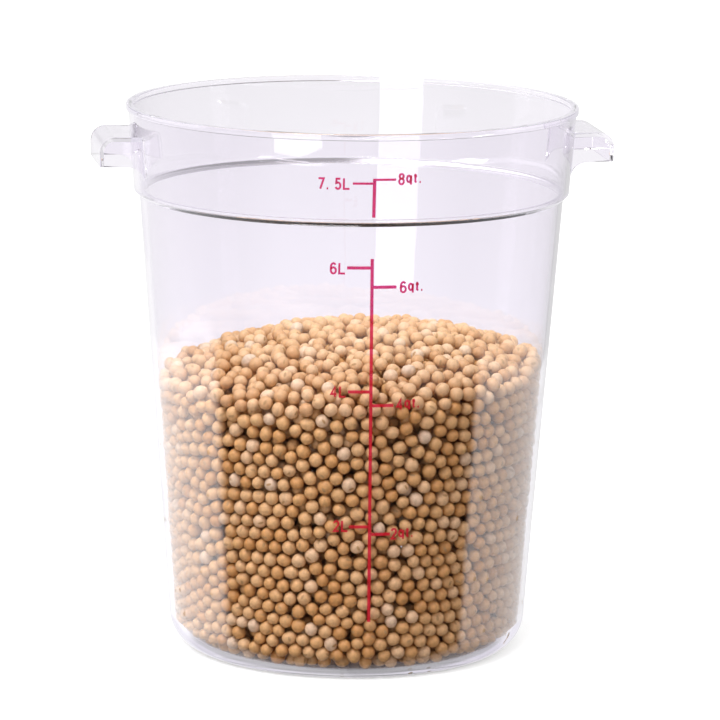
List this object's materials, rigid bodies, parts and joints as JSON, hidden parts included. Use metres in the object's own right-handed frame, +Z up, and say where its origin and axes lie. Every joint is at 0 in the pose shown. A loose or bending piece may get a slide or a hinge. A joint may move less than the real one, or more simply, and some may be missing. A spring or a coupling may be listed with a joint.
{
  "type": "food storage container",
  "caption": "Round clear plastic food storage tub with two moulded handles, a stacking ledge, a printed volume scale and a heap of dried soybeans.",
  "frame": {"origin": "centre of the base, on the surface that the tub stands on", "axes": "+Z up along the tub's axis, +X through the middle of one handle, the printed volume scale faces -Y"},
  "size_m": [0.2612, 0.2288, 0.2793],
  "materials": {
    "clear_polycarbonate": "clear moulded polycarbonate, polished, very slightly lavender",
    "scale_ink": "screen-printed red ink, satin",
    "soybean_skin": "smooth dry seed skin, satin"
  },
  "bodies": {
    "root": {"tub": "clear_polycarbonate", "collar_scale_print": "scale_ink", "body_scale_print": "scale_ink", "soybeans": "soybean_skin"}
  },
  "joints": []
}
